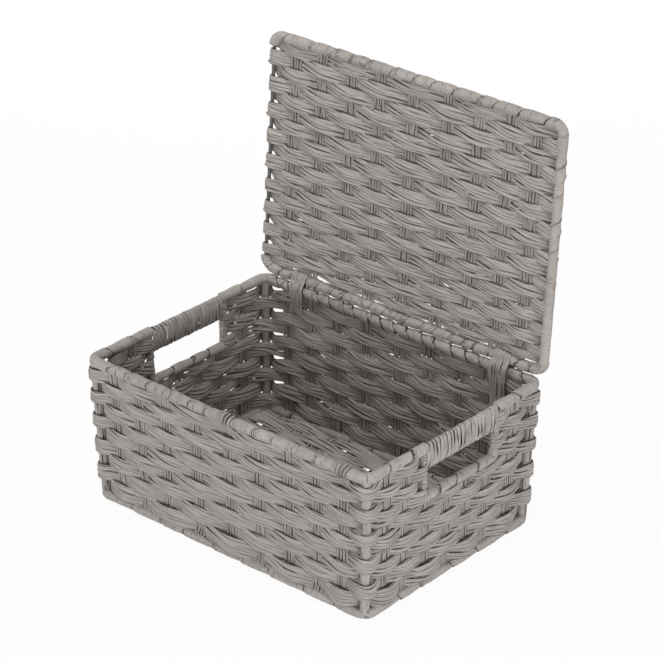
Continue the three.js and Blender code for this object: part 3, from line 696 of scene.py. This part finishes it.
def next_stake(one, two, out, away, *wide):
    """From one stake to the next, drawn together inside the rail's winding."""
    inside = [stake_key(one + (two - one) * part, out, 4) for part in (0, 0.06, 0.2, 0.4, 0.6, 0.8, 0.94, 1)]
    return [stake_key(one - away * NECK, *wide), *inside, stake_key(two - away * NECK, *wide)]


def over_rim(centre, out):
    """A stake that comes over the front rim in sight, spread wide, and is tucked in inside."""
    keys = []
    for degrees in range(-60, 181, 40):
        width = LONG_WIDTH * (1 + 0.3 * math.sin(math.radians(max(degrees, 0))))
        keys.append(stake_key(centre + spoke(out, UP, degrees) * OVER, lid_x, width))
    return keys + [stake_key(centre - out * (SWING + 2) - UP * 12, lid_x, LONG_WIDTH)]


def base_bend(wall, share):
    """From a wall round the base wire into the floor."""
    centre = on_wall(wall, share, base_z)
    places = [centre + spoke(outward(wall), UP, degrees) * BEND for degrees in (45, 0, -45, -100)]
    return [stake_key(place, lid_x, LONG_WIDTH) for place in places]


OVER_FRONT = (4, 8)  # the two stakes that are seen to come over the front rim


def add_long_stakes():
    wide = (lid_x, LONG_WIDTH)
    keys, bundles = into_rail(on_wall("back", LONG_STAKES[0], rim_z), UP, *wide)[::-1], []
    for i, share in enumerate(LONG_STAKES):
        near, far = ("back", "front") if i % 2 == 0 else ("front", "back")
        tops = [on_wall(wall, share, rim_z - ROW_START) for wall in (near, far)]
        feet = [on_wall(wall, share, base_z + ROW_START) for wall in (near, far)]
        floor = [on_wall(wall, share, base_z, -ROW_START) for wall in (near, far)]
        keys += straight(tops[0], feet[0], *wide) + base_bend(near, share)
        keys += straight(*floor, *wide) + base_bend(far, share)[::-1]
        keys += straight(feet[1], tops[1], *wide)
        there = on_wall(far, LONG_STAKES[min(i + 1, len(LONG_STAKES) - 1)], rim_z)
        if i in OVER_FRONT:
            bundles.append(keys + over_rim(on_wall(far, share, rim_z), outward(far)))
            keys = into_rail(there, UP, *wide)[::-1]
        else:
            keys += next_stake(on_wall(far, share, rim_z), there, outward(far), UP, *wide)
    tubes = [tube for keys in bundles for tube in laid(keys, STAKE_STRANDS)]
    dress("warp_long", tubes, slot="stake_cord")


def rising_and_falling(lows, highs, out, *wide):
    """Stakes up and down between two rails, (place, way out of the panel) at each end."""
    keys = into_rail(*lows[0], *wide)[::-1]
    for i, (low, high) in enumerate(zip(lows, highs)):
        rails = (low, high) if i % 2 == 0 else (high, low)
        ends = [place - away * ROW_START for place, away in rails]
        keys += straight(*ends, *wide)
        here, away = rails[1]
        if i == len(lows) - 1:
            keys += into_rail(here, away, *wide)
        else:
            there = (highs if i % 2 == 0 else lows)[i + 1][0]
            keys += next_stake(here, there, out, away, *wide)
    return laid(keys, STAKE_STRANDS)


def add_short_stakes(wall):
    lows = [(on_wall(wall, share, base_z), -UP) for share in short_stakes]
    tops = [bar_z if share in slot_stakes else rim_z for share in short_stakes]
    highs = [(on_wall(wall, share, top), UP) for share, top in zip(short_stakes, tops)]
    tubes = rising_and_falling(lows, highs, outward(wall), BACK, SHORT_WIDTH)
    dress(f"warp_{wall}", tubes, slot="stake_cord")


def add_lid_stakes():
    lows = [(lid_place(x, 0, 0), -lid_y) for x in LID["stakes"]]
    highs = [(lid_place(x, LID_DEPTH, 0), lid_y) for x in LID["stakes"]]
    tubes = rising_and_falling(lows, highs, lid_out, lid_x, LONG_WIDTH)
    dress("lid_warp", tubes, "lid", "stake_cord")


# Rails under a broad winding

AROUND = np.arange(20) * 2 * math.pi / 20  # radians to each point round a rail
CIRCLE = np.stack([np.cos(AROUND), np.sin(AROUND)], axis=-1)


def winding(line, right, radius, pitch, slant=2.6, bulge=0.5, step_down=0.9, painted_shade_strength=1.0):
    """Broad turns along a rail: each starts in a sharp curved edge over the last, with creases behind it, and
    painted shade in the groove at each edge and in the creases' hollows.
    """
    centres, right, out, place, span = line_frame(smooth_line(np.hstack([line, right]), 1.1))
    sway = partial(wander, place[:, None], span)
    turns = max(1, round(span / pitch))
    edges = (np.arange(turns + 1) + np.append(rng.uniform(-0.18, 0.18, turns), 0)) * span / turns
    edges[0], edges[-1] = (-pitch / 3, span + pitch / 3)  # no groove where one winding meets the next
    lean = rng.uniform(0, 2 * math.pi)
    at = place[:, None] + slant * np.sin(AROUND + lean) + wander(AROUND, 2 * math.pi, 0.7, 2)
    at = np.clip(at, 1e-6, span - 1e-6)
    which = np.searchsorted(edges, at, side="right") - 1
    past, left = at - edges[which], edges[which + 1] - at
    size = edges[which + 1] - edges[which]
    wave = 2 * math.pi * past / RIPPLE + sway(1.6, 9)
    ripple = np.sin(wave + 2.0 * np.sin(AROUND + which))
    bunched = np.clip(0.45 + sway(0.8, 12), 0, 1.2)
    creases = ripple * bunched * (0.33 * np.exp(-past / 11) + 0.22 * np.exp(-left / 7) + 0.1)
    groove = np.exp(-((past / 1.0) ** 2)) + 0.6 * np.exp(-((left / 0.8) ** 2))
    body = bulge * (np.sin(math.pi * past / size) - 0.5)
    reach = radius + body + step_down * (0.5 - past / size + creases - 0.6 * groove)
    reach = reach + sway(0.15, 25) + wander(AROUND, 2 * math.pi, 0.1, 1.5)
    section = reach[..., None] * CIRCLE
    # Painted shade: darker in the groove at each turn's edge and in the hollows of the creases
    shade = np.clip(groove - 2.6 * np.minimum(creases, 0), 0, 1) * painted_shade_strength
    return skin(centres, right, out, section, shade, wound=True)


def loop_part(half, z, first, last):
    """Part of a rounded loop of wire, from one distance along it to another. Zero is the front's middle."""
    flat, arc = half - CORNER, math.pi / 2 * CORNER
    legs = [flat[0], arc, 2 * flat[1], arc, 2 * flat[0], arc, 2 * flat[1], arc, flat[0]]
    marks = np.concatenate([[0], np.cumsum(legs)])
    points, outs = [], []
    for place in np.linspace(first, last, max(2, round((last - first) / 2)) + 1):
        place %= marks[-1]
        leg = min(int(np.searchsorted(marks, place, side="right")) - 1, len(legs) - 1)
        side, into = leg // 2, place - marks[leg]
        if leg % 2:
            turn = (side - 1) * math.pi / 2 + into / CORNER
            out = np.array([math.cos(turn), math.sin(turn), 0])
            at = np.array([*(CORNERS[side] * flat), 0]) + out * CORNER
        else:
            out = np.array([*[(0, -1), (1, 0), (0, 1), (-1, 0)][side % 4], 0.0])
            run = np.array([-out[1], out[0], 0])
            at = out * half[1 - side % 2] + run * (into - (flat[side % 2] if leg else 0))
        points.append(at + [middle[0], middle[1], z])
        outs.append(out)
    return np.array(points), np.array(outs)


def loop_marks(half):
    """Distances along a loop to each corner's middle and each side's, from the front right corner on."""
    long, short = half - CORNER + math.pi / 4 * CORNER
    return np.cumsum([long, short, short, long, long, short, short, long])


def add_rails():
    """The windings of the rim and the base."""
    slot = [SLOT_SETBACK - SLOT_LENGTH / 2 + 2, SLOT_SETBACK + SLOT_LENGTH / 2 - 2]
    fr, right, br, _, bl, left, fl, whole = loop_marks(rim_half)
    rim = {
        "front": (fl - whole, fr), "right_front": (fr, right + slot[0]), "right_back": (right + slot[1], br),
        "back": (br, bl), "left_back": (bl, left - slot[1]), "left_front": (left - slot[0], fl),
    }
    for part, ends in rim.items():
        rail = HINGE_RAIL if part == "back" else RAIL
        dress(f"rim_binding_{part}", [winding(*loop_part(rim_half, rim_z, *ends), **rail)])
    fr, _, br, _, bl, _, fl, whole = loop_marks(base_half)
    base = {"front": (fl - whole, fr), "right": (fr, br), "back": (br, bl), "left": (bl, fl)}
    for part, ends in base.items():
        dress(f"base_binding_{part}", [winding(*loop_part(base_half, base_z, *ends), **BASE_RAIL)])


def rail_sag(x):
    """How far the cord hangs under the lid's rear wire; the ties hold it up."""
    clear = min(max(first - x, x - last) for first, last, _ in TIES.values())
    return RAIL_SAG * min(1.0, max(0.0, (clear - 1.0) / SAG_EASE))


def add_lid_rails():
    """The lid's two long rails, round its corners to the side wires, and its right edge."""
    reach = LID_LENGTH / 2 - LID_CORNER
    for node, y, away in (("lid_binding_front", LID_DEPTH, 1), ("lid_binding_rear", 0, -1)):
        corners = []
        for side in (-1, 1):
            centre = lid_place(side * reach, y - away * LID_CORNER, 0)
            outs = [spoke(lid_x * side, lid_y * away, degrees) for degrees in np.linspace(5, 90, 8)]
            corners.append([(centre + out * LID_CORNER, out) for out in outs])
        run = []
        for x in np.linspace(-reach, reach, 60)[1:-1]:
            run.append((lid_place(x, y - (rail_sag(x) if y == 0 else 0), 0), lid_y * away))
        line = zip(*corners[0], *run, *corners[1][::-1])
        dress(node, [winding(*line, **(HINGE_RAIL if y == 0 else RAIL))], "lid")
    start = LID_CORNER - 3  # the rows' turns lie over each other there in one smooth band
    line = [lid_place(LID_LENGTH / 2, y, 0) for y in np.linspace(start, LID_DEPTH - start, 50)]
    make_piece("cord_lid_edge_wraps", [winding(line, [lid_x] * 50, **LID_EDGE)], "lid", "weaver_cord")


def add_slot_bars(wall):
    """The lower bar of a hand slot under its winding."""
    ends = [SLOT_SETBACK + side * (SLOT_LENGTH / 2 - 1) for side in (-1, 1)]
    line = [on_wall(wall, 0.5, bar_z) + [0, y, 0] for y in np.linspace(*ends, 40)]
    dress(f"bar_binding_{wall}", [winding(line, [outward(wall)] * 40, **SLOT_BAR)])


def band(line, right, radius, strands):
    """Cord laid along a post in long shallow folds, with painted shade in the folds."""
    centres = smooth_line(np.hstack([line, right]), 2.2)
    centres, right = centres[:, :3], unit(centres[:, 3:])
    out = np.cross(headings(centres), right)
    place, span = lengths(centres)
    sway = partial(wander, place[:, None], span)
    fold_and_shade = np.abs(np.sin(strands * AROUND / 2 + sway(0.25, 40)))
    reach = 1 - 0.10 * np.exp(-((fold_and_shade / 0.25) ** 2)) + sway(0.02, 20)
    section = reach[..., None] * radius * CIRCLE
    # Painted shade in the folds
    return skin(centres, right, out, section, np.exp(-((fold_and_shade / 0.22) ** 2)))


def add_posts():
    """Cord bands over the corner posts and the slots' side bars."""
    tubes = []
    for side_x, side_y in CORNERS[-1:] + CORNERS[:-1]:
        line = [post_at(side_x, side_y, z) for z in np.linspace(base_z, rim_z, 8)]
        tubes.append(band(line, [unit(np.array([side_y, -side_x, 0.0]))] * 8, BAND, 9))
    make_piece("cord_post_bands", tubes, "basket", "binding_cord")
    tubes = []
    for wall in ("left", "right"):
        for share in bar_shares:
            line = [on_wall(wall, share, z) for z in np.linspace(bar_z - 3, rim_z - 1, 6)]
            tubes.append(band(line, [BACK] * 6, BAR_BAND, 7))
    make_piece("cord_slot_side_bands", tubes, "basket", "binding_cord")


def add_grip(wall):
    """Cord wound as one flat band round the rim wire and the top bar of a hand slot."""
    first, width = SLOT_SETBACK - SLOT_LENGTH / 2, SLOT_LENGTH / GRIP_TURNS
    low, high = on_wall(wall, 0.5, rim_z - GRIP_DROP), on_wall(wall, 0.5, rim_z)
    out, up = outward(wall), unit(high - low)
    ring = [(low, a) for a in range(180, 361, 45)] + [(high, a) for a in range(0, 181, 45)]
    keys = []
    for turn in range(GRIP_TURNS):
        wobble, thinner = rng.uniform(-0.08, 0.08), rng.choice([1.04, 0.98, 0.86])
        for k, (centre, degrees) in enumerate(ring):
            along = first + width * (turn + wobble + k / len(ring)) * (GRIP_TURNS / (GRIP_TURNS + 0.3))
            place = centre + spoke(out, up, degrees) * GRIP_RADIUS + BACK * along
            keys.append(key(place, BACK, width * 0.5 * thinner))
    tubes = laid(keys, 1, step=2.0, thick=0.5, slack=0.1, cover=1.04, fold_and_shade=0.6)
    make_piece(f"cord_grip_{wall}", tubes, "basket", "binding_cord", f"grip_binding_{wall}")


# First and last place along the back rim, and how far down inside the wall the tie's tail hangs
TIES = {"left": (-136.0, -119.0, 22.0), "right": (121.0, 141.0, 45.0)}


def add_ties():
    """Broad flat bands of cord round both rails, with a tail down the inside of the back wall."""
    back = middle[1] + rim_half[1]
    reach = COVER + 1.3
    for side, (first, last, tail) in TIES.items():
        inside = [(on_wall("back", 0.5, rim_z - drop)[1], rim_z - drop) for drop in (tail, tail / 2 + 4)]
        path = [(y - SWING - 2.6, z) for y, z in inside]
        path += [(back - reach, rim_z - 3), (back - reach + 0.3, rim_z + 4), (hinge[1] - reach, hinge[2] - 1)]
        for turn in (2.4, 1.57, 0.8, 0):  # radians over the lid's rail
            path.append((hinge[1] + reach * math.cos(turn), hinge[2] + reach * math.sin(turn)))
        path += [(back + reach + 0.5, rim_z), (back + 3, rim_z - reach), (back, rim_z - 4)]
        keys = []
        for i, (y, z) in enumerate(path):
            spread = 0.86 if i < 2 else (1.0 if i < 8 else 0.9)
            keys.append(key(np.array([(first + last) / 2, y, z]), lid_x, (last - first) / 2 * spread))
        dress(f"hinge_tie_{side}", laid(keys, 6, step=1.8, thick=0.5, slack=0.5, cover=1.12, fold_and_shade=0.55))


# Finishes


def linear(code):
    """An sRGB hex colour as linear light."""
    parts = [int(code[i : i + 2], 16) / 255 for i in (1, 3, 5)]
    return (*(part / 12.92 if part <= 0.04045 else ((part + 0.055) / 1.055) ** 2.4 for part in parts), 1.0)


def add_node(tree, kind, inputs=(), **settings):
    """A node with its settings; an input is a value, or (node, output) to link."""
    made = tree.nodes.new("ShaderNode" + kind)
    for name, value in settings.items():
        setattr(made, name, value)
    for socket, value in dict(inputs).items():
        if isinstance(value, tuple) and isinstance(value[0], bpy.types.Node):
            tree.links.new(value[0].outputs[value[1]], made.inputs[socket])
        else:
            made.inputs[socket].default_value = value
    return made


def new_material(name, roughness):
    material = bpy.data.materials.new(name)
    material.use_nodes = True
    tree = material.node_tree
    shader = tree.nodes["Principled BSDF"]
    shader.inputs["Roughness"].default_value = roughness
    return material, tree, shader, partial(add_node, tree)


def dyed_paper_cord(name, light, fold_and_shade, crease_wide, crease_long):
    """Flat cord of dyed kraft paper: matt, with long fine creases, and painted shade in the creases and in
    the grooves and folds between strands.
    """
    material, tree, shader, add = new_material(name, 0.85)
    shader.inputs["Specular IOR Level"].default_value = 0.3
    cord = add("UVMap", uv_map="cord")  # millimetres along and across the cord

    def noise(long, wide, detail):
        """Noise in patches this many millimetres long and wide."""
        place = add("Mapping", {"Vector": (cord, 0), "Scale": (1 / long, 1 / wide, 1)})
        inputs = {"Vector": (place, 0), "Scale": 1.0, "Detail": detail}
        return add("TexNoise", inputs, noise_dimensions="2D")

    offset = add("Math", {0: (noise(crease_long, crease_wide, 2.0), 0), 1: 0.5}, operation="SUBTRACT")
    size = add("Math", {0: (offset, 0)}, operation="ABSOLUTE")
    crease = add("MapRange", {"Value": (size, 0), "From Max": 0.045, "To Min": 1.0, "To Max": 0.0})
    tone = noise(90, 100, 1.0)  # of each length of strand
    fibre = noise(4.0, 0.5, 2.0)
    # Painted shade: the colour goes towards the shade colour in the grooves and folds that the mesh marks,
    # and a little along the creases
    groove = add("Attribute", attribute_name="groove")
    painted_shade_amount = {"Value": (groove, "Fac"), "From Min": 0.22, "From Max": 0.72, "To Max": 0.92}
    painted_crease_shade = add("Math", {0: (crease, 0), 1: 0.35}, operation="MULTIPLY")
    painted_shade_strength = add("Math", {0: (add("MapRange", painted_shade_amount), 0), 1: (painted_crease_shade, 0)}, operation="MAXIMUM")
    uneven = {"Value": (tone, 0), "From Min": 0.3, "From Max": 0.7, "To Min": 0.90, "To Max": 1.10}
    base = {0: linear(light)[:3], "Scale": (add("MapRange", uneven), 0)}
    base = add("VectorMath", base, operation="SCALE")
    colour = {"Factor": (painted_shade_strength, 0), 6: (base, 0), 7: linear(fold_and_shade)}
    colour = add("Mix", colour, data_type="RGBA", clamp_factor=True)
    tree.links.new(colour.outputs[2], shader.inputs["Base Color"])
    relief = add("Math", {0: (crease, 0), 1: -1.0, 2: (fibre, 0)}, operation="MULTIPLY_ADD")
    bump = add("Bump", {"Height": (relief, 0), "Distance": 0.25 * MM, "Strength": 0.6})
    tree.links.new(bump.outputs[0], shader.inputs["Normal"])
    return material


def painted_wire(name, colour):
    """Steel wire with a thin satin paint, slightly uneven."""
    material, tree, shader, add = new_material(name, 0.45)
    place = add("TexCoord")
    spots = add("TexNoise", {"Vector": (place, "Object"), "Scale": 1 / (6 * MM), "Detail": 3.0})
    tone = add("MapRange", {"Value": (spots, 0), "To Min": 0.85, "To Max": 1.15})
    base = add("VectorMath", {0: linear(colour)[:3], "Scale": (tone, 0)}, operation="SCALE")
    tree.links.new(base.outputs[0], shader.inputs["Base Color"])
    bump = add("Bump", {"Height": (spots, 0), "Distance": 0.05 * MM, "Strength": 0.4})
    tree.links.new(bump.outputs[0], shader.inputs["Normal"])
    return material


papers = {  # for each slot: colour, colour of the painted shade in the folds, grooves and creases, and a crease's width and length
    "weaver_cord": dyed_paper_cord("dyed_paper_weaver_cord", "#b3aca7", "#2e2926", 1.4, 45),
    "stake_cord": dyed_paper_cord("dyed_paper_stake_cord", "#a8a19c", "#1d1a18", 1.4, 40),
    "binding_cord": dyed_paper_cord("dyed_paper_binding_cord", "#b3aca7", "#2e2926", 1.9, 16),
}
wire_paint = painted_wire("satin_painted_steel_wire", "#5f5a55")


def paint_wires():
    for name, node in frame["nodes"].items():
        if "wire" in name or "post" in name or "handle_frame" in name:
            node.data.materials.clear()
            node.data.materials.append(wire_paint)


# Camera, light and floor


CAMERA_TURN = (41.52, 26.72, 0.05)  # degrees: round the basket, above it, and about the view's own axis
CAMERA_PLACE = (7.689, 0.0475, 0.4835)  # back, right and up from the base's middle, in lengths of the rim
LENS = 2766 / 660  # in widths of the sensor


def add_camera():
    """At the photograph's viewing angle and distance, found from the basket's corners and outline."""
    turn, lift, roll = CAMERA_TURN
    east, north = Vector((1, 0, 0)), Vector((0, 1, 0))
    right, back = spoke(east, north, turn), spoke(spoke(-north, east, turn), Vector((0, 0, 1)), lift)
    up = back.cross(right)
    place = Vector((middle[0], middle[1], base_z)) * MM
    place += (back * CAMERA_PLACE[0] + right * CAMERA_PLACE[1] + up * CAMERA_PLACE[2]) * 2 * rim_half[0] * MM
    data = bpy.data.cameras.new("camera")
    data.sensor_width = 36
    data.lens = LENS * data.sensor_width
    camera = new_object("camera", data)
    turned = Matrix((spoke(right, up, roll), spoke(up, -right, roll), back)).transposed().to_4x4()
    camera.matrix_world = Matrix.Translation(place) @ turned
    bpy.context.scene.camera = camera


FLOOR_HALF = 4.0  # metres, as all places of the studio


def add_lamp(name, place, size, watts):
    data = bpy.data.lights.new(name, "AREA")
    data.shape, data.size, data.size_y, data.energy = "RECTANGLE", *size, watts
    lamp = new_object(name, data)
    lamp.location = place
    lamp.rotation_euler = (Vector((0, 0, 0.15)) - Vector(place)).to_track_quat("-Z", "Y").to_euler()


def seen_directly(tree):
    """1 for camera, mirror and see-through rays, which show the white surround."""
    path = add_node(tree, "LightPath")
    rays = {0: (path, "Is Camera Ray"), 1: (path, "Is Glossy Ray")}
    first = add_node(tree, "Math", rays, operation="MAXIMUM")
    return add_node(tree, "Math", {0: (first, 0), 1: (path, "Is Transmission Ray")}, operation="MAXIMUM")


def add_studio():
    """Soft light from all sides, and a pale floor that the camera sees as white as the surround."""
    add_lamp("softbox_front_left", (-0.7, -1.45, 0.15), (1.3, 0.24), 6.5)
    add_lamp("softbox_front_right", (1.6, -0.65, 0.15), (1.3, 0.24), 12)
    add_lamp("softbox_back_left", (-1.1, 1.25, 0.3), (1.3, 0.4), 10)
    add_lamp("softbox_above", (0.1, -0.2, 2.2), (1.0, 1.0), 20)
    world = bpy.data.worlds.new("white_surround")
    bpy.context.scene.world = world
    world.use_nodes = True
    tree = world.node_tree
    tree.nodes.clear()
    strength = add_node(tree, "MapRange", {"Value": (seen_directly(tree), 0), "To Min": 0.35, "To Max": 1.0})
    shade = add_node(tree, "Background", {"Color": (1, 1, 1, 1), "Strength": (strength, 0)})
    add_node(tree, "OutputWorld", {"Surface": (shade, 0)})
    mesh = bpy.data.meshes.new("floor")
    mesh.from_pydata([(x * FLOOR_HALF, y * FLOOR_HALF, 0) for x, y in CORNERS], [], [(0, 1, 2, 3)])
    material = bpy.data.materials.new("white_paper_floor")
    material.use_nodes = True
    tree = material.node_tree
    tree.nodes.clear()
    paper = add_node(tree, "BsdfDiffuse", {"Color": (0.85, 0.85, 0.85, 1)})
    glow = add_node(tree, "Emission", {"Color": (1, 1, 1, 1), "Strength": 1.0})
    share = add_node(tree, "Math", {0: (seen_directly(tree), 0), 1: 0.95}, operation="MULTIPLY")
    both = add_node(tree, "MixShader", {0: (share, 0), 1: (paper, 0), 2: (glow, 0)})
    add_node(tree, "OutputMaterial", {"Surface": (both, 0)})
    mesh.materials.append(material)
    floor = new_object("floor", mesh)
    bpy.context.scene.view_settings.view_transform = "Standard"


add_wall_weavers()
add_floor_weavers()
add_lid_weavers()
add_long_stakes()
for wall in ("left", "right"):
    add_short_stakes(wall)
    add_slot_bars(wall)
    add_grip(wall)
add_lid_stakes()
add_rails()
add_lid_rails()
add_posts()
add_ties()
paint_wires()
add_studio()
add_camera()
